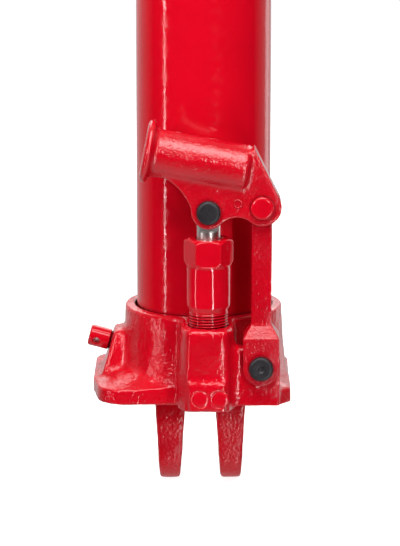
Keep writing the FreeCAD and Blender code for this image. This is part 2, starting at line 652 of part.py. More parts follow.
def overload_screw():
    return placed(socket_plug(4.3), pt(0, CYL_HOLE_Y, 43.5 - 4.3), Z)


def gallery_plugs():
    """Three smooth expander plugs, slightly domed, that close the drilled galleries."""
    r = PLUG_R - SEAT
    end = PLUG_LENGTH - 0.6
    plug = turned([(0, 0), (2.4, 0.1), (r - 0.9, 0.5), (r, 1.3), (r, end), (0, end)])
    front = [placed(plug, pt(x, PAD_FACE - 0.1, GALLERY_Z), Y) for x in (SUCTION_X, DELIVERY_X)]
    rear = placed(plug, pt(0, 45 + 0.1, RETURN_Z), V(0, -1, 0))
    return Part.makeCompound(front + [rear])


def suction_strainer():
    z = TUBE_SEAT_Z
    return turned([(0, z + 7), (0, z + 6.3), (1.7, z + 6.3), (1.7, z - 3), (2.2 - SEAT, z - 3),
                   (2.2 - SEAT, z), (3.0, z), (3.0, z + 0.8), (2.4, z + 0.8), (2.4, z + 6.2), (1.7, z + 7)],
                  pt(SUCTION_X, -TANK_HOLE_Y, 0))


# ---- release valve --------------------------------------------------------------------------
SPINDLE_GROOVE = (3.0, 5.6, 3.7)


def release_ball_s():
    return RELEASE_SEAT - math.sqrt(BALL_R ** 2 - SEAT_HOLE_R ** 2) - FACE


def release_spindle():
    g0, g1, gr = SPINDLE_GROOVE
    tip = release_ball_s() - BALL_R - FACE
    r = SPINDLE_THREAD_R
    out = -SPINDLE_OUT
    solid = release_turned([
        (0, out), (SPINDLE_R - 0.9, out), (SPINDLE_R, out + 0.9), (SPINDLE_R, -0.9), (SPINDLE_R - 0.5, -0.4),
        (r, -0.4), (r, g0), (gr, g0), (gr, g1), (r, g1), (r, 10), (3.2, 10.8), (3.2, tip), (0, tip)])
    hole = release_point(-CROSS_HOLE_S)
    tilt, dip = math.radians(RELEASE_TILT), math.radians(CROSS_HOLE_DIP)
    way = V(-math.sin(dip) * math.sin(tilt), -math.cos(dip), -math.sin(dip) * math.cos(tilt)) * 20
    return solid.cut(bar(hole - way, hole + way, CROSS_HOLE_R))


def release_seal():
    g0, g1, gr = SPINDLE_GROOVE
    r = SPINDLE_THREAD_R + SEAT / 2
    return release_turned([(gr + SEAT, g0 + FACE), (r, g0 + FACE), (r, g1 - FACE), (gr + SEAT, g1 - FACE)])


def release_ball():
    return Part.makeSphere(BALL_R, release_point(release_ball_s()))


# ---- lever linkage --------------------------------------------------------------------------
def barrel_point(s, drop=0.0):
    """Point s mm along the handle socket's axis (towards its closed end), drop mm below it."""
    t = math.radians(BARREL_TILT)
    return pt(BARREL_X + s * math.cos(t) - drop * math.sin(t), PUMP_Y,
              BARREL_Z - s * math.sin(t) - drop * math.cos(t))


def circle_point(centre, r, degrees):
    a = math.radians(degrees)
    return (centre[0] + r * math.cos(a), centre[1] + r * math.sin(a))


def cheek_outline():
    """Outline of the socket's two cheeks in the X-Z plane, round the bosses of pins C and A."""
    root = barrel_point(-18.5, BARREL_R - 2)
    end = barrel_point(BARREL_FRONT, -BARREL_R + 0.4)
    top = barrel_point(0, -4)
    return [
        (root.x, root.z),
        ("arc", (-12.6, 164.8), circle_point(PIN_C, BOSS_C_R, 172)),
        ("arc", circle_point(PIN_C, BOSS_C_R, 250), circle_point(PIN_C, BOSS_C_R, 318)),
        ("arc", (18.2, 150.3), circle_point(PIN_A, BOSS_A_R, 224)),
        ("arc", circle_point(PIN_A, BOSS_A_R, 305), circle_point(PIN_A, BOSS_A_R, 31)),
        (end.x + 1.2, end.z), (end.x - 3, end.z - 2), (top.x, top.z)]


def handle_socket():
    mouth, end = barrel_point(-BARREL_BACK), barrel_point(BARREL_FRONT)
    along = end - mouth
    length = BARREL_BACK + BARREL_FRONT
    barrel = turned([(0, 0), (RIM_R - 1.8, 0), (RIM_R, 1.6), (RIM_R, RIM_W - 1.2), (RIM_R - 1.2, RIM_W),
                     (BARREL_R + 1.2, RIM_W), (BARREL_R, RIM_W + 1.4), (BARREL_R, length - 1.5),
                     (BARREL_R - 1.5, length), (0, length)], mouth, along)
    cheeks = prism_xz(cheek_outline(), PUMP_Y - CHEEK, PUMP_Y + CHEEK)
    left, right = [barrel_point(s, BARREL_R + 1.2) for s in (-60, 60)]
    slot = prism_xz([(left.x, left.z), (right.x, right.z), (right.x, 120), (left.x, 120)],
                    PUMP_Y - CHEEK_GAP, PUMP_Y + CHEEK_GAP)
    ax, az = PIN_A
    eye_room = bar(pt(ax, PUMP_Y - CHEEK_GAP, az), pt(ax, PUMP_Y + CHEEK_GAP, az), 10.5)
    cuts = [slot, eye_room,
            turned([(0, -1), (BARREL_BORE_R + 2, -1), (BARREL_BORE_R, 1.2), (BARREL_BORE_R, 46), (0, 48)],
                   mouth, along)]
    for x, z in (PIN_C, PIN_A):
        cuts.append(bar(pt(x, PUMP_Y - 20, z), pt(x, PUMP_Y + 20, z), PIN_R + SEAT))
    return drilled(barrel.fuse(cheeks), cuts)


def link_arm():
    (ax, az), (bx, bz) = PIN_A, PIN_B
    half = LINK_W / 2
    eye_r = 8.5
    jog_z, fork_z, crotch_z = bz + 23.6, bz + 16.6, bz + 14.6
    lean = (ax - bx) / (az - bz)

    def mid(z):
        return bx + lean * (z - bz)

    front = [(mid(jog_z) - half, jog_z), (bx - FORK_HALF_W, fork_z), (bx - FORK_HALF_W, bz),
             ("arc", (bx, bz - FORK_HALF_W), (bx + FORK_HALF_W, bz)), (bx + FORK_HALF_W, fork_z),
             (mid(jog_z) + half, jog_z), (ax + half, az), (ax - half, az)]
    t = LINK_T / 2
    slope = FORK_OUT - t
    side = [(PUMP_Y - t, az + 20), (PUMP_Y - t, fork_z + slope), (PUMP_Y - FORK_OUT, fork_z),
            (PUMP_Y - FORK_OUT, bz - 20), (PUMP_Y + FORK_OUT, bz - 20), (PUMP_Y + FORK_OUT, fork_z),
            (PUMP_Y + t, fork_z + slope), (PUMP_Y + t, az + 20)]
    gap = [(PUMP_Y - FORK_IN, bz - 21), (PUMP_Y - FORK_IN, crotch_z - 3), (PUMP_Y - FORK_IN + 3, crotch_z),
           (PUMP_Y + FORK_IN - 3, crotch_z), (PUMP_Y + FORK_IN, crotch_z - 3), (PUMP_Y + FORK_IN, bz - 21)]
    eye = bar(pt(ax, PUMP_Y - t, az), pt(ax, PUMP_Y + t, az), eye_r)
    solid = prism_xz(front, -90, -20).common(prism_yz(side, -10, 60)).fuse(eye).removeSplitter()
    cuts = [prism_yz(gap, -10, 60),
            bar(pt(ax, -90, az), pt(ax, -20, az), PIN_R + RUN),
            bar(pt(bx, -90, bz), pt(bx, -20, bz), PIN_B_R + SEAT)]
    return drilled(solid, cuts)


HEAD_GAP = 0.02           # a pin's head stands this far off the cheek
TAIL = 3.6                # length of a pin beyond the rear face, for its clip
CLIP_T = 1.0


def pivot_pin(place, r, head_r, head_t, half_width):
    """Headed pin along Y, head at the front, with a clip groove behind the rear face."""
    profile = [(0, 0), (head_r - 0.7, 0), (head_r, 0.7), (head_r, head_t), (r, head_t),
               (r, head_t + 2 * half_width + 0.2), (r - 0.9, head_t + 2 * half_width + 0.2),
               (r - 0.9, head_t + 2 * half_width + 0.2 + CLIP_T + 0.1),
               (r, head_t + 2 * half_width + 0.2 + CLIP_T + 0.1),
               (r, head_t + 2 * half_width + TAIL - 0.6), (r - 0.6, head_t + 2 * half_width + TAIL),
               (0, head_t + 2 * half_width + TAIL)]
    return turned(profile, pt(place[0], PUMP_Y - half_width - HEAD_GAP - head_t, place[1]), Y)


def pin_clip(place, r, half_width):
    """Open retaining ring in the groove of pivot_pin."""
    y0 = PUMP_Y + half_width - HEAD_GAP + 0.25
    axis_point = pt(place[0], y0, place[1])
    clip = turned([(r - 0.9 + SEAT, 0), (r + 2.4, 0), (r + 2.4, CLIP_T), (r - 0.9 + SEAT, CLIP_T)],
                  axis_point, Y)
    return clip.cut(box(place[0] - r * 0.6, place[0] + r * 0.6, y0 - 1, y0 + 3, place[1] - r - 5, place[1]))


def plunger_pin():
    return pivot_pin(PIN_C, PIN_R, 6.6, 3.4, CHEEK)


def plunger_pin_clip():
    return pin_clip(PIN_C, PIN_R, CHEEK)


def link_top_pin():
    return pivot_pin(PIN_A, PIN_R, 6.4, 3.4, CHEEK)


def link_top_pin_clip():
    return pin_clip(PIN_A, PIN_R, CHEEK)


def link_base_pin():
    pin = pivot_pin(PIN_B, PIN_B_R, 6.7, 3.6, FORK_OUT)
    face = PUMP_Y - FORK_OUT - HEAD_GAP - 3.6
    return pin.cut(bar(pt(PIN_B[0], face - 1, PIN_B[1]), pt(PIN_B[0], face + 0.8, PIN_B[1]), 1.1))


def link_base_pin_clip():
    return pin_clip(PIN_B, PIN_B_R, FORK_OUT)


# ---- write every piece ----------------------------------------------------------------------
PIECES = [
    base_casting, reservoir_tube, reservoir_bottom_seal, reservoir_top_seal, pressure_cylinder,
    cylinder_bottom_seal, head_nut, head_nut_seal, head_nut_wiper, filler_plug, suction_strainer,
    gallery_plugs, pump_body, pump_body_gasket, pump_gland_seal, delivery_plug, overload_screw,
    suction_ball, delivery_ball, delivery_spring, overload_ball, overload_spring,
    release_spindle, release_seal, release_ball,
    first_stage_tube, first_stage_piston, first_stage_piston_seal, first_stage_guide_ring,
    first_stage_gland, gland_rod_seal, gland_o_ring, gland_wiper, gland_snap_ring,
    second_stage_rod, second_stage_piston, second_stage_piston_seal, second_stage_guide_ring,
    head_eye, head_eye_screws,
    pump_plunger, plunger_seal, plunger_backup_ring,
    handle_socket, plunger_pin, plunger_pin_clip, link_top_pin, link_top_pin_clip,
    link_arm, link_base_pin, link_base_pin_clip,
]

os.makedirs("parts", exist_ok=True)
for make in PIECES:
    shape = make()
    if not shape.isValid():
        print("not valid:", make.__name__)
    print(f"{make.__name__:26s} solids {len(shape.Solids)}  volume {shape.Volume:10.1f} mm3")
    shape.exportStep("parts/" + make.__name__ + ".step")
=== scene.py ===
import json
import math

import bmesh
import bpy
import numpy as np
from mathutils import Matrix, Vector, noise


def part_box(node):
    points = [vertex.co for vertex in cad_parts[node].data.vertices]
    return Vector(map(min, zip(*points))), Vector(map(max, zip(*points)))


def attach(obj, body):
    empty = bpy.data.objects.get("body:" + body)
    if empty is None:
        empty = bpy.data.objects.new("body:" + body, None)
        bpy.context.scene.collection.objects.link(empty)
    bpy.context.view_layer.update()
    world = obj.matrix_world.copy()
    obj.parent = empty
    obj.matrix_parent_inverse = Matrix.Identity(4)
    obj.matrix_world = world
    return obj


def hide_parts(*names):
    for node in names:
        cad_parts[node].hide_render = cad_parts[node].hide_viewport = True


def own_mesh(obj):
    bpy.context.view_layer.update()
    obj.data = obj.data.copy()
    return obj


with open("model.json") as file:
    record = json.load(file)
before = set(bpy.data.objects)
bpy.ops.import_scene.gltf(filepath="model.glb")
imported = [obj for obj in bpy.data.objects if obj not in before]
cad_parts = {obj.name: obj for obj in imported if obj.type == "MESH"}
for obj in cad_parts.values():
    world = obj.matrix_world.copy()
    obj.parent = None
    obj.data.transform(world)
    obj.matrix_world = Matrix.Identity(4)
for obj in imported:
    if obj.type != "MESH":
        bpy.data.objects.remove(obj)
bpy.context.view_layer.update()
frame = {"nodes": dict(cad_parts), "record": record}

# The looks of a telescopic hydraulic cylinder: red enamel over a sand-cast base and lever socket,
# drawn tube, machined pump, chromed rams. Metres, in the frame's own axes: +Z up the cylinder,
# -Y towards the hand pump, +X along the clevis pin.

MM = 0.001
REST = bpy.context.scene.collection
SLOT_OF = {s["node"]: s["material_slot"] for s in frame["record"]["subparts"]}
BODY_OF = {node: body for body, group in frame["record"]["behaviour"]["bodies"].items() for node in group}

# ---- studio: sizes and lights ---------------------------------------------------------------
TARGET = Vector((-0.002, 0.0, 0.1055))
CAMERA_DISTANCE, CAMERA_ELEVATION = 1.8, 12.2
CAMERA_LENS, SENSOR_WIDTH, CLIP_END = 207.7, 36.0, 50.0
FLOOR_Z, FLOOR_DROP, FLOOR_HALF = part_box("base_casting")[0].z, 0.0002, 6.0


def map_range(tree, source, low, high, to_low, to_high):
    """Socket that goes from to_low to to_high while source goes from low to high."""
    node = tree.nodes.new("ShaderNodeMapRange")
    for socket, value in zip(("From Min", "From Max", "To Min", "To Max"), (low, high, to_low, to_high)):
        node.inputs[socket].default_value = value
    tree.links.new(source, node.inputs["Value"])
    return node.outputs[0]


def place_camera():
    scene = bpy.context.scene
    scene.view_settings.view_transform = "Standard"
    camera = bpy.data.objects.new("camera", bpy.data.cameras.new("camera"))
    REST.objects.link(camera)
    camera.data.lens = CAMERA_LENS
    camera.data.sensor_width = SENSOR_WIDTH
    camera.data.clip_end = CLIP_END
    a = math.radians(CAMERA_ELEVATION)
    camera.location = TARGET + CAMERA_DISTANCE * Vector((0, -math.cos(a), math.sin(a)))
    camera.rotation_euler = (TARGET - camera.location).to_track_quat("-Z", "Y").to_euler()
    scene.camera = camera


def room_light():
    """White behind the object for the camera, and a dim room for everything that reflects."""
    world = bpy.data.worlds.new("studio")
    bpy.context.scene.world = world
    world.use_nodes = True
    nodes, links = world.node_tree.nodes, world.node_tree.links
    nodes.clear()
    out = nodes.new("ShaderNodeOutputWorld")
    white = nodes.new("ShaderNodeBackground")
    white.inputs["Color"].default_value = (1, 1, 1, 1)
    room = nodes.new("ShaderNodeBackground")
    room.inputs["Strength"].default_value = 1.0
    coords = nodes.new("ShaderNodeTexCoord")
    split = nodes.new("ShaderNodeSeparateXYZ")
    links.new(coords.outputs["Generated"], split.inputs[0])
    # brighter behind the object (+Y) and overhead, dark in front, and a bounce off the floor
    tree = world.node_tree
    back = map_range(tree, split.outputs["Y"], 0.1, 0.85, 0.0, 0.75)
    above_floor = map_range(tree, split.outputs["Z"], -0.5, -0.1, 0.25, 1.0)
    overhead = map_range(tree, split.outputs["Z"], 0.25, 0.95, 0.0, 0.15)
    bounce = map_range(tree, split.outputs["Z"], -0.3, -0.85, 0.0, 0.55)
    total = nodes.new("ShaderNodeMath")
    total.operation = "MULTIPLY_ADD"
    links.new(back, total.inputs[0])
    links.new(above_floor, total.inputs[1])
    links.new(overhead, total.inputs[2])
    ambient = nodes.new("ShaderNodeMath")
    links.new(total.outputs[0], ambient.inputs[0])
    links.new(bounce, ambient.inputs[1])
    links.new(ambient.outputs[0], room.inputs["Color"])
    path = nodes.new("ShaderNodeLightPath")
    mix = nodes.new("ShaderNodeMixShader")
    links.new(path.outputs["Is Camera Ray"], mix.inputs[0])
    links.new(room.outputs[0], mix.inputs[1])
    links.new(white.outputs[0], mix.inputs[2])
    links.new(mix.outputs[0], out.inputs[0])


def area_light(name, azimuth, height, distance, width, tall, watts, aim_height=0.12):
    """Soft box aimed at the object's axis, with its sizes and places in metres.

    azimuth is in degrees from the front (-Y) towards the right (+X)."""
    light = bpy.data.lights.new(name, "AREA")
    light.shape = "RECTANGLE"
    light.size, light.size_y = width, tall
    light.energy = watts
    lamp = bpy.data.objects.new(name, light)
    REST.objects.link(lamp)
    a = math.radians(azimuth)
    lamp.location = (distance * math.sin(a), -distance * math.cos(a), height)
    aim = Vector((0, 0, aim_height)) - lamp.location
    lamp.rotation_euler = aim.to_track_quat("-Z", "Y").to_euler()
    lamp.visible_camera = False


def lights():
    # the strips draw the long highlights down the tube and the pump
    area_light("strip_left", -69, 0.25, 1.1, 0.03, 2.4, 3.6, aim_height=0.25)
    area_light("strip_right", 22, -0.55, 1.2, 0.03, 0.9, 4.5, aim_height=-0.55)
    area_light("edge_right", 138, 0.1, 1.1, 0.3, 1.6, 1.5, aim_height=0.1)
    area_light("top_box", -4, 1.2, 0.6, 1.1, 0.8, 15.0)
    area_light("front_left", -36, 0.6, 1.4, 0.25, 0.25, 4.0)
    area_light("front_right", 22, 0.5, 1.4, 0.25, 0.25, 4.2)
    area_light("rear", 180, 0.9, 1.2, 1.2, 0.8, 8.0)


def floor():
    """Plain white floor that the object stands above, unseen by the object's own gloss."""
    h = FLOOR_HALF
    mesh = bpy.data.meshes.new("floor")
    mesh.from_pydata([(-h, -h, 0), (h, -h, 0), (h, h, 0), (-h, h, 0)], [], [(0, 1, 2, 3)])
    piece = bpy.data.objects.new("floor", mesh)
    REST.objects.link(piece)
    piece.location.z = FLOOR_Z - FLOOR_DROP
    piece.visible_glossy = False
    piece.visible_diffuse = False
    piece.visible_shadow = False
    material, _, shader = new_material("floor_white")
    shader.inputs["Base Color"].default_value = (0.8, 0.8, 0.8, 1)
    shader.inputs["Roughness"].default_value = 0.9
    shader.inputs["Specular IOR Level"].default_value = 0.0
    shader.inputs["Emission Color"].default_value = (1, 1, 1, 1)
    shader.inputs["Emission Strength"].default_value = 0.8
    mesh.materials.append(material)


# ---- materials ------------------------------------------------------------------------------
RED = (0.74, 0.0026, 0.0155, 1.0)
DEEP_RED = (0.5, 0.0014, 0.009, 1.0)
# near-black red painted into corners and creases as shade
PAINTED_CORNER_SHADE = (0.06, 0.001, 0.002, 1.0)
THIN_COAT_ROUGHNESS, THIN_COAT_GRAIN, THIN_COAT_FADE = 0.12, 0.17, 0.01
PEEL_HEIGHT, GRAIN_HEIGHT, CORNER_REACH = 0.0003, 0.0016, 0.003


def new_material(name):
    """New material with its node tree and its shader."""
    material = bpy.data.materials.new(name)
    material.use_nodes = True
    nodes = material.node_tree.nodes
    shader = nodes["Principled BSDF"]
    return material, material.node_tree, shader


def add_noise(tree, scale, detail=3.0, rough=0.5):
    where = tree.nodes.new("ShaderNodeTexCoord")
    tex = tree.nodes.new("ShaderNodeTexNoise")
    tex.inputs["Scale"].default_value = scale
    tex.inputs["Detail"].default_value = detail
    tex.inputs["Roughness"].default_value = rough
    tree.links.new(where.outputs["Object"], tex.inputs["Vector"])
    return tex


def scaled_sum(tree, amount, scale, base):
    """Socket of amount * scale + base."""
    node = tree.nodes.new("ShaderNodeMath")
    node.operation = "MULTIPLY_ADD"
    node.inputs[1].default_value = scale
    tree.links.new(amount, node.inputs[0])
    tree.links.new(base, node.inputs[2])
    return node.outputs[0]


def add_ramp(tree, source, stops):
    ramp = tree.nodes.new("ShaderNodeValToRGB")
    tree.links.new(source, ramp.inputs["Fac"])
    elements = ramp.color_ramp.elements
    while len(elements) < len(stops):
        elements.new(0.5)
    for element, (place, value) in zip(elements, stops):
        element.position = place
        element.color = value if len(value) == 4 else (*value, 1.0)
    return ramp


def grey(v):
    """Colour that carries one number v."""
    return (v, v, v, 1.0)


def add_bump(tree, shader, heights):
    """Chain of bump nodes: heights is a list of (socket, distance in metres, strength)."""
    last = None
    for socket, distance, strength in heights:
        bump = tree.nodes.new("ShaderNodeBump")
        bump.inputs["Distance"].default_value = distance
        if isinstance(strength, float):
            bump.inputs["Strength"].default_value = strength
        else:
            tree.links.new(strength, bump.inputs["Strength"])
        tree.links.new(socket, bump.inputs["Height"])
        if last:
            tree.links.new(last.outputs["Normal"], bump.inputs["Normal"])
        last = bump
    tree.links.new(last.outputs["Normal"], shader.inputs["Normal"])


def enamel(name, cast=0.0, peel=0.25, rough=(0.06, 0.12), stain=0.5, tint=1.0, thin=0.4, fine=560.0,
           shine=0.55, bare_below=None):
    """Red gloss enamel over iron.

    cast is how rough the iron under it is, fine the scale of that grain and thin how much of it
    shows where the paint is thickest. peel is the paint's own waviness, rough its roughness from
    clean to dulled patches, stain how uneven its tone is, tint how bright and shine how glossy.
    Under the height bare_below, in metres, the paint is only a thin dull coat."""
    material, tree, shader = new_material(name)
    shader.inputs["Specular IOR Level"].default_value = shine
    tone = add_noise(tree, 45.0, 5.0, 0.62)
    full_red = tuple(v * tint for v in RED[:3])
    dull_red = tuple(a + (b * tint - a) * stain for a, b in zip(full_red, DEEP_RED))
    ramp = add_ramp(tree, tone.outputs["Fac"], [(0.28, dull_red), (0.62, full_red)])
    # painted shade: the base colour darkens towards a near-black red in corners, creases and round fitted
    # pieces, as far as ambient occlusion reaches
    corner = tree.nodes.new("ShaderNodeAmbientOcclusion")
    corner.samples = 8
    corner.inputs["Distance"].default_value = CORNER_REACH
    open_part = map_range(tree, corner.outputs["AO"], 0.25, 0.8, 0.0, 1.0)
    mix = tree.nodes.new("ShaderNodeMix")
    mix.data_type = "RGBA"
    tree.links.new(open_part, mix.inputs["Factor"])
    mix.inputs["A"].default_value = PAINTED_CORNER_SHADE
    tree.links.new(ramp.outputs["Color"], mix.inputs["B"])
    tree.links.new(mix.outputs["Result"], shader.inputs["Base Color"])
    patches = add_noise(tree, 240.0, 3.0, 0.6)
    gloss = add_ramp(tree, patches.outputs["Fac"], [(0.35, grey(rough[0])), (0.62, grey(rough[1]))])
    roughness = gloss.outputs["Color"]
    if bare_below:
        where = tree.nodes.new("ShaderNodeTexCoord")
        split = tree.nodes.new("ShaderNodeSeparateXYZ")
        tree.links.new(where.outputs["Object"], split.inputs[0])
        bare = map_range(tree, split.outputs["Z"], bare_below, bare_below - THIN_COAT_FADE, 0.0, 1.0)
        roughness = scaled_sum(tree, bare, THIN_COAT_ROUGHNESS, roughness)
    tree.links.new(roughness, shader.inputs["Roughness"])
    wave = add_noise(tree, 300.0, 2.0, 0.5)
    heights = [(wave.outputs["Fac"], PEEL_HEIGHT, peel)]
    if cast:
        # sand grain shows through where the paint is thin and drowns where it has run
        grain = add_noise(tree, fine, 2.5, 0.55)
        cover = add_noise(tree, 32.0, 2.0, 0.5)
        showing = map_range(tree, cover.outputs["Fac"], 0.36, 0.62, cast * thin, cast)
        if bare_below:
            showing = scaled_sum(tree, bare, THIN_COAT_GRAIN, showing)
        heights.append((grain.outputs["Fac"], GRAIN_HEIGHT, showing))
    add_bump(tree, shader, heights)
    return material


def steel(name, colour, roughness, scratches=0.15, uneven=0.2):
    """Bare or plated metal; uneven is how much its tone and polish vary."""
    material, tree, shader = new_material(name)
    shader.inputs["Metallic"].default_value = 1.0
    tone = add_noise(tree, 60.0, 5.0, 0.65)
    dark = tuple(c * (1 - uneven) for c in colour)
    ramp = add_ramp(tree, tone.outputs["Fac"], [(0.35, dark), (0.65, colour)])
    tree.links.new(ramp.outputs["Color"], shader.inputs["Base Color"])
    polish = [(0.3, grey(roughness * (1 - uneven))), (0.7, grey(roughness * (1 + 1.25 * uneven)))]
    worn = add_ramp(tree, tone.outputs["Fac"], polish)
    tree.links.new(worn.outputs["Color"], shader.inputs["Roughness"])
    fine = add_noise(tree, 3000.0, 2.0, 0.5)
    add_bump(tree, shader, [(fine.outputs["Fac"], 0.00004, scratches)])
    return material


def dull(name, colour, roughness):
    """Rubber, plastic or blackened metal, a little uneven in tone."""
    material, tree, shader = new_material(name)
    tone = add_noise(tree, 200.0, 4.0, 0.6)
    light = tuple(min(1.0, c * 1.35 + 0.004) for c in colour)
    ramp = add_ramp(tree, tone.outputs["Fac"], [(0.35, colour), (0.7, light)])
    tree.links.new(ramp.outputs["Color"], shader.inputs["Base Color"])
    shader.inputs["Roughness"].default_value = roughness
    add_bump(tree, shader, [(tone.outputs["Fac"], 0.0001, 0.2)])
    return material


MATERIALS = {
    "red_casting": enamel("cast_enamel", cast=0.36, rough=(0.05, 0.12), tint=0.97, thin=0.3, shine=0.6,
                          bare_below=0.03),
    "red_socket": enamel("socket_enamel", cast=0.22, rough=(0.1, 0.17), tint=0.9, thin=0.8, fine=900.0,
                         shine=0.8),
    "red_tube": enamel("tube_enamel", peel=0.28, rough=(0.03, 0.16), stain=0.2),
    "red_nut": enamel("nut_enamel"),
    "red_plugs": enamel("plug_enamel"),
    "red_pump": enamel("pump_enamel", peel=0.15, rough=(0.03, 0.12)),
    "red_spindle": enamel("spindle_enamel"),
    "red_eye": enamel("eye_enamel", cast=0.2),
    "red_pin": enamel("pin_enamel"),
    "red_link": enamel("link_enamel", cast=0.3, rough=(0.08, 0.14), tint=0.84, thin=0.6, fine=700.0),
    "seal_rubber": dull("seal_rubber", (0.02, 0.02, 0.021), 0.55),
    "seal_plastic": dull("seal_plastic", (0.7, 0.67, 0.57), 0.45),
    "guide_plastic": dull("guide_plastic", (0.1, 0.13, 0.17), 0.5),
    "plug_rubber": dull("plug_rubber", (0.02, 0.02, 0.02), 0.4),
    "mesh_brass": steel("mesh_brass", (0.7, 0.5, 0.2), 0.35),
    "gland_brass": steel("gland_brass", (0.75, 0.56, 0.25), 0.25),
    "honed_steel": steel("honed_steel", (0.5, 0.5, 0.51), 0.3),
    "bearing_steel": steel("bearing_steel", (0.7, 0.7, 0.72), 0.1),
    "spring_steel": steel("spring_steel", (0.4, 0.4, 0.42), 0.35),
    "black_oxide": steel("black_oxide", (0.05, 0.05, 0.055), 0.45),
    "black_pin": dull("black_pin", (0.01, 0.008, 0.011), 0.4),
    "bright_plunger": steel("bright_plunger", (0.85, 0.81, 0.78), 0.27),
    "chrome_ram": steel("chrome_ram", (0.86, 0.86, 0.88), 0.24, 0.02, 0.03),
    "chrome_rod": steel("chrome_rod", (0.86, 0.86, 0.88), 0.2, 0.02, 0.03),
}


def dress(piece, slot_name):
    piece.data.materials.clear()
    piece.data.materials.append(MATERIALS[slot_name])


# ---- mesh helpers ---------------------------------------------------------------------------
def stand_in(name, mesh, node, smooth=True):
    """A finished mesh that is shown instead of a CAD node, and moves with that node's body."""
    piece = bpy.data.objects.new(name, mesh)
    REST.objects.link(piece)
    for polygon in mesh.polygons:
        polygon.use_smooth = smooth
    dress(piece, SLOT_OF[node])
    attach(piece, BODY_OF[node])
    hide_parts(node)
    return piece


def remeshed(node, voxel):
    """Even all-quad copy of a CAD node's mesh."""
    source = bpy.data.objects.new("remesh_source", frame["nodes"][node].data.copy())
    REST.objects.link(source)
    modifier = source.modifiers.new("even", "REMESH")
    modifier.mode = "VOXEL"
    modifier.voxel_size = voxel
    depsgraph = bpy.context.evaluated_depsgraph_get()
    mesh = bpy.data.meshes.new_from_object(source.evaluated_get(depsgraph))
    bpy.data.objects.remove(source)
    return mesh


def points_of(mesh):
    co = np.empty(len(mesh.vertices) * 3)
    mesh.vertices.foreach_get("co", co)
    return co.reshape(-1, 3)


def normals_of(mesh):
    no = np.empty(len(mesh.vertices) * 3)
    mesh.vertex_normals.foreach_get("vector", no)
    return no.reshape(-1, 3)


def put_points(mesh, co):
    mesh.vertices.foreach_set("co", co.ravel())
    mesh.update()


def relax(mesh, free, rounds, hollow_rounds):
    """Round the edges of a remeshed casting: every edge a little, inside corners more.

    free is 1 where the surface is cast and 0 where it is machined."""
    co = points_of(mesh)
    ends = np.empty(len(mesh.edges) * 2, dtype=np.int64)
    mesh.edges.foreach_get("vertices", ends)
    ends = ends.reshape(-1, 2)
    count = np.bincount(ends.ravel(), minlength=len(co))[:, None]
    for i in range(rounds + hollow_rounds):
        total = np.zeros_like(co)
        for axis in range(3):
            total[:, axis] = (np.bincount(ends[:, 0], co[ends[:, 1], axis], len(co))
                              + np.bincount(ends[:, 1], co[ends[:, 0], axis], len(co)))
        step = total / count - co
        weight = free.copy()
        if i >= rounds:
            put_points(mesh, co)
            outward = (step * normals_of(mesh)).sum(axis=1)
            weight *= outward > 0
        co += 0.5 * step * weight[:, None]
    put_points(mesh, co)


def cast_relief(mesh, free, seed, wave, deep):
    """Push the cast skin inward by a sand-cast unevenness: broad wave, finer deep pitting."""
    co, no = points_of(mesh), normals_of(mesh)
    shift = Vector((seed * 3.7, seed * 1.3, seed * 2.1))
    for i in np.nonzero(free > 0.01)[0]:
        p = Vector(co[i])
        broad = noise.noise(p * 95 + shift)
        middle = noise.noise(p * 260 + shift)
        lump = noise.noise(p * 560 - shift)
        depth = wave * (0.55 * broad + 0.3 * middle - 0.6) + deep * min(0.0, lump + 0.1)
        co[i] += no[i] * depth * free[i]
    put_points(mesh, co)


def ramp01(x, low, high):
    return np.clip((x - low) / (high - low), 0.0, 1.0)


def soften(profile, radius, steps=4, closed=False):
    """Round every corner of a profile of (radius, height) points."""
    out, n = [], len(profile)
    for i in range(n):
        here = Vector(profile[i])
        if not closed and i in (0, n - 1):
            out.append(here)
            continue
        u, v = Vector(profile[i - 1]) - here, Vector(profile[(i + 1) % n]) - here
        cut = min(radius, 0.45 * u.length, 0.45 * v.length)
        p, q = here + u.normalized() * cut, here + v.normalized() * cut
        for k in range(steps + 1):
            t = k / steps
            out.append((1 - t) ** 2 * p + 2 * t * (1 - t) * here + t * t * q)
    return out


def spaced(profile, step, closed=False):
    """Add points so that no stretch of a profile is longer than step."""
    out, n = [], len(profile)
    for i in range(n if closed else n - 1):
        a, b = Vector(profile[i]), Vector(profile[(i + 1) % n])
        count = max(1, math.ceil((b - a).length / step))
        out += [a.lerp(b, k / count) for k in range(count)]
    if not closed:
        out.append(Vector(profile[-1]))
    return out


def lathe(name, profile, segments, closed=False, shape=None):
    """Mesh of revolution about Z, in millimetres. shape(r, h, angle) may move each point."""
    bm = bmesh.new()
    rows = []
    for r, h in profile:
        if r < 1e-4:
            rows.append([bm.verts.new((0, 0, h))])
            continue
        row = []
        for k in range(segments):
            a = 2 * math.pi * k / segments
            rr, hh = shape(r, h, a) if shape else (r, h)
            row.append(bm.verts.new((rr * math.cos(a), rr * math.sin(a), hh)))
        rows.append(row)
    pairs = list(zip(rows, rows[1:])) + ([(rows[-1], rows[0])] if closed else [])
    for low, high in pairs:
        for k in range(segments):
            j = (k + 1) % segments
            if len(low) == 1 and len(high) > 1:
                bm.faces.new((low[0], high[j], high[k]))
            elif len(high) == 1 and len(low) > 1:
                bm.faces.new((low[k], low[j], high[0]))
            elif len(low) > 1:
                bm.faces.new((low[k], low[j], high[j], high[k]))
    bmesh.ops.recalc_face_normals(bm, faces=bm.faces)
    mesh = bpy.data.meshes.new(name)
    bm.to_mesh(mesh)
    bm.free()
    return mesh


def settle(mesh, origin, axis=(0, 0, 1)):
    """Turn a lathe mesh in millimetres to its place in metres: Z goes to axis, zero to origin."""
    turn = Vector((0, 0, 1)).rotation_difference(Vector(axis)).to_matrix().to_4x4()
    mesh.transform(Matrix.Translation(Vector(origin)) @ turn @ Matrix.Scale(MM, 4))
    mesh.update()


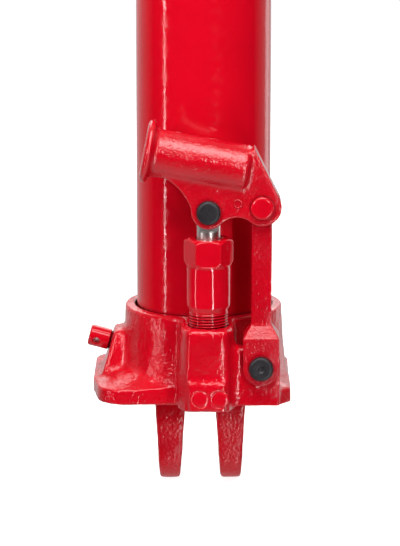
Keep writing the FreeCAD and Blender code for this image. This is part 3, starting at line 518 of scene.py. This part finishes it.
def box_mm(node):
    low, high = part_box(node)
    return low / MM, high / MM


def centre_mm(node):
    low, high = box_mm(node)
    return (low + high) / 2


def clear_of_pin(x, z, pin, near, far):
    """0 on the machined face round a pin along Y, rising to 1 from near to far off its axis."""
    axis = centre_mm(pin)
    return ramp01(np.hypot(x - axis.x, z - axis.z), near, far)


# ---- castings: millimetres, but for voxels and depths of relief -----------------------------
FRONT_PLUG_Z, REAR_PLUG_Z, PLUG_R = 49.5, 46.0, 3.97
PLUG_HALF_SPACING = 5.5


def base_casting():
    mesh = remeshed("base_casting", 0.00086)
    x, y, z = (points_of(mesh) / MM).T
    # free is 1 on the cast skin and 0 on what is machined: tank seat, lug faces, clevis, pump thread
    under_bores = ramp01(-z, -58.0, -55.0)
    tank_seat = np.maximum(ramp01(np.hypot(x, y), 40.0, 42.0), under_bores)
    lug = np.maximum(clear_of_pin(x, z, "link_base_pin", 5.9, 7.2), ramp01(y, -50, -48))
    clevis = ramp01(np.hypot(y, z), 8.6, 9.6)
    pump = centre_mm("pump_body")
    thread = np.maximum(ramp01(np.hypot(x - pump.x, y - pump.y), 11.3, 12.4), under_bores)
    free = tank_seat * lug * clevis * thread
    # the boss under the pump is the roundest part of the casting
    boss = ramp01(-y, 52, 60) * ramp01(-np.abs(x - 2), -21, -18)
    boss *= ramp01(z, 61, 66) * ramp01(-z, -91, -86)
    relax(mesh, free * boss, 45, 0)
    relax(mesh, free, 4, 26)
    # the front pad stays flush with its plugs
    off_plugs = np.maximum(np.abs(x - centre_mm("gallery_plugs").x) - PLUG_HALF_SPACING, 0)
    pad = ramp01(np.hypot(off_plugs, z - FRONT_PLUG_Z), 4.6, 6.5)
    pad = np.maximum(pad, ramp01(y, -72.0, -70.5))
    cast_relief(mesh, free * pad, 1.0, 0.00042, 0.00022)
    stand_in("base_casting_skin", mesh, "base_casting")


def pinned_casting(node, voxel, pins, face, rounds, relief):
    """Small casting that is machined only on the faces round its pins, from face[0] to face[1]."""
    mesh = remeshed(node, voxel)
    x, _, z = (points_of(mesh) / MM).T
    free = np.ones(len(x))
    for pin in pins:
        free *= clear_of_pin(x, z, pin, *face)
    relax(mesh, free, *rounds)
    cast_relief(mesh, free, *relief)
    stand_in(node + "_skin", mesh, node)


def head_eye():
    mesh = remeshed("head_eye", 0.0006)
    x, y, z = (points_of(mesh) / MM).T
    top = box_mm("head_eye")[1].z
    bore = ramp01(np.hypot(y, z - (top - 18.0)), 8.6, 9.6)
    rod_socket = np.maximum(ramp01(np.hypot(x, y), 10.4, 12.0), ramp01(z, top - 36, top - 34))
    free = bore * rod_socket
    relax(mesh, free, 4, 20)
    cast_relief(mesh, free, 13.0, 0.0002, 0.00008)
    stand_in("head_eye_skin", mesh, "head_eye")


# ---- tank tube ------------------------------------------------------------------------------
def reservoir_tube():
    """Drawn tube: true in the bore, a little wavy and dented outside."""
    low, high = box_mm("reservoir_tube")
    r, wall = high.x, 2.5
    profile = soften([(r, low.z), (r, high.z), (r - wall, high.z), (r - wall, low.z)], 0.5, 3, True)
    profile = spaced(profile, 2.6, True)

    def drawn(radius, h, angle):
        if radius < r - wall / 2:
            return radius, h
        around = Vector((math.cos(angle) * 1.6, math.sin(angle) * 1.6, h * 0.011))
        ripple = Vector((math.cos(angle) * 7, math.sin(angle) * 7, h * 0.09))
        dent = 0.05 * (noise.noise(around) - 0.6) + 0.014 * (noise.noise(ripple) - 0.6)
        return radius + dent, h

    mesh = lathe("tank", profile, 256, True, drawn)
    settle(mesh, (0, 0, 0))
    stand_in("reservoir_tube_drawn", mesh, "reservoir_tube")


# ---- hand pump ------------------------------------------------------------------------------
def pump_body():
    """Hexagon head, round body with a run of paint under the head, and a cut helical thread."""
    low, high = box_mm("pump_body")
    centre = centre_mm("pump_body")
    boss_top, thread_top = 88.7, 96.9
    pitch, depth, runout = 1.6, 0.95, 1.5
    hex_low, hex_high, flat = high.z - 14.25, high.z, 12.0
    hex_sharpness = 70
    corner = flat / math.cos(math.pi / 6)
    bore, thread_r, body_r = 6.55, 10.97, 12.2
    rough = [(bore, low.z), (thread_r - 1, low.z), (thread_r, low.z + 1), (thread_r, boss_top - 1),
             (thread_r, thread_top), (body_r - 0.6, 98.6), (body_r, 99.8), (body_r, hex_low - 1.6),
             (body_r + 0.35, hex_low - 0.5), (corner - 1.0, hex_low + 0.1), (corner, hex_low + 1.5),
             (corner, hex_high - 1.7), (flat - 0.5, hex_high), (bore + 0.9, hex_high),
             (bore, hex_high - 0.8)]
    corners = soften(rough, 0.7, 3, True)
    profile = []
    for p, q in zip(corners, corners[1:] + corners[:1]):
        threaded = p.x > 8 and q.x > 8 and boss_top - 2 < min(p.y, q.y) < thread_top + 0.1
        profile += spaced([p, q], 0.14 if threaded else 0.5)[:-1]

    def machined(r, h, angle):
        if r > bore + 0.3 and boss_top - 1 < h < thread_top:
            phase = (h / pitch - angle / (2 * math.pi)) % 1.0
            groove = 0.5 + 0.5 * math.cos(2 * math.pi * min(1.0, abs(phase - 0.5) / 0.8))
            fade = min(1.0, (thread_top - h) / runout)
            r -= depth * fade * groove
        if h > hex_low - 0.2 and r > bore + 1.2:
            face = flat / math.cos(angle % (math.pi / 3) - math.pi / 6)
            r = (r ** -hex_sharpness + face ** -hex_sharpness) ** (-1 / hex_sharpness)
        if r > bore + 0.3 and h > thread_top + 0.1:
            around = Vector((math.cos(angle) * 3, math.sin(angle) * 3, h * 0.16))
            run = 0.12 * max(0.0, 1 - abs(h - hex_low + 0.7) / 1.4) * noise.noise(around * 2.3)
            fine = Vector((math.cos(angle) * 9, math.sin(angle) * 9, h * 0.75))
            r += 0.07 * (noise.noise(around) - 0.5) + run + 0.022 * noise.noise(fine)
        return r, h

    mesh = lathe("pump", profile, 192, True, machined)
    settle(mesh, (centre.x * MM, centre.y * MM, 0))
    stand_in("pump_body_turned", mesh, "pump_body")


# ---- pins -----------------------------------------------------------------------------------
def pivot_pin(node, r, head_t, dimple=0.0):
    """Headed pin along Y with a slightly crowned head, its clip groove and a chamfered tail."""
    low, high = box_mm(node)
    centre = centre_mm(node)
    head_r = (high.x - low.x) / 2
    length = high.y - low.y
    groove, groove_depth, groove_width, chamfer = length - 3.4, 0.9, 1.1, 0.6
    rough = [(0, dimple), (1.3 if dimple else head_r * 0.5, dimple)]
    if dimple:
        rough.append((1.9, 0.1))
    rough += [(head_r - 1.3, 0.05), (head_r - 0.25, 0.55), (head_r, 1.2), (head_r, head_t - 0.4),
              (head_r - 0.3, head_t), (r, head_t), (r, groove), (r - groove_depth, groove),
              (r - groove_depth, groove + groove_width), (r, groove + groove_width),
              (r, length - chamfer), (r - chamfer, length), (0, length)]
    profile = spaced(soften(rough, 0.45, 3), 0.9)

    def struck(radius, h, angle):
        if h > 1.5:  # the shank stays smooth
            return radius, h
        p = Vector((radius * math.cos(angle), radius * math.sin(angle), 0)) * 0.5
        return radius, h + 0.1 * (noise.noise(p + Vector((head_r, r, 0))) * 0.5 + 0.5)

    mesh = lathe(node + "_turned", profile, 96, False, struck)
    settle(mesh, (centre.x * MM, low.y * MM, centre.z * MM), (0, 1, 0))
    stand_in(node + "_turned", mesh, node)


def gallery_plugs():
    """The two front plugs, nearly flush and painted over, and the one behind."""
    low, high = box_mm("gallery_plugs")
    # the face falls away under a collar of paint that fills the lip of the hole
    body_r, collar_r, depth = 4.15, 4.9, 7.4
    outline = [(0, 0.05), (2.9, 0.12), (4.0, 0.3), (collar_r, 0.62), (collar_r, 1.5),
               (body_r, 2.2), (body_r, depth), (0, depth)]
    profile = spaced(soften(outline, 0.6, 3), 0.5)
    bm = bmesh.new()
    places = [(low.x + PLUG_R, low.y, FRONT_PLUG_Z, 1), (high.x - PLUG_R, low.y, FRONT_PLUG_Z, 1),
              (0, high.y, REAR_PLUG_Z, -1)]
    for x, y, z, way in places:
        mesh = lathe("plug", profile, 64)
        settle(mesh, (x * MM, y * MM, z * MM), (0, way, 0))
        bm.from_mesh(mesh)
        bpy.data.meshes.remove(mesh)
    joined = bpy.data.meshes.new("plugs")
    bm.to_mesh(joined)
    bm.free()
    stand_in("gallery_plugs_painted", joined, "gallery_plugs")


def small_remeshed(node, voxel, rounds):
    """Machined or painted small part: its own shape with every edge broken."""
    mesh = remeshed(node, voxel)
    relax(mesh, np.ones(len(mesh.vertices)), rounds, 0)
    stand_in(node + "_finished", mesh, node)


def valve_spring(node):
    """The CAD coil again, as a piece with its own copy of the mesh that moves with the spring's body."""
    piece = stand_in(node + "_coil", frame["nodes"][node].data.copy(), node)
    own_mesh(piece)


def foundry_ring():
    """Plain raised ring cast on the socket's web, a generic foundry mark, between its two pins."""
    plunger_pin, link_pin = centre_mm("plunger_pin"), centre_mm("link_top_pin")
    along, above, ring_r, wire_r = 0.54, 3.4, 2.1, 0.5
    head_thickness, sunk = 3.4, 0.14
    where = plunger_pin.lerp(link_pin, along)
    where.y = box_mm("plunger_pin")[0].y + head_thickness + sunk
    where.z += above
    turns = [math.radians(t) for t in range(0, 360, 30)]
    profile = [(ring_r + wire_r * math.cos(t), wire_r * math.sin(t)) for t in turns]
    mesh = lathe("ring", profile, 64, True)
    settle(mesh, where * MM, (0, 1, 0))
    piece = bpy.data.objects.new("foundry_ring", mesh)
    REST.objects.link(piece)
    for polygon in mesh.polygons:
        polygon.use_smooth = True
    dress(piece, SLOT_OF["handle_socket"])
    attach(piece, "socket")


# ---- pieces ---------------------------------------------------------------------------------
SHARP_FROM = math.radians(32)
for node, piece in frame["nodes"].items():
    dress(piece, SLOT_OF[node])
    piece.data.set_sharp_from_angle(angle=SHARP_FROM)

base_casting()
pinned_casting("handle_socket", 0.00058, ("plunger_pin", "link_top_pin"), (4.2, 5.4),
               rounds=(5, 26), relief=(5.0, 0.00026, 0.00012))
pinned_casting("link_arm", 0.0005, ("link_base_pin", "link_top_pin"), (4.6, 5.6),
               rounds=(5, 14), relief=(9.0, 0.0002, 0.00008))
head_eye()
reservoir_tube()
pump_body()
pivot_pin("plunger_pin", r=4.0, head_t=3.4)
pivot_pin("link_top_pin", r=4.0, head_t=3.4)
pivot_pin("link_base_pin", r=4.5, head_t=3.6, dimple=0.8)
small_remeshed("release_spindle", voxel=0.00026, rounds=4)
gallery_plugs()
foundry_ring()
valve_spring("delivery_spring")
valve_spring("overload_spring")

# ---- studio and result ----------------------------------------------------------------------
place_camera()
room_light()
lights()
floor()
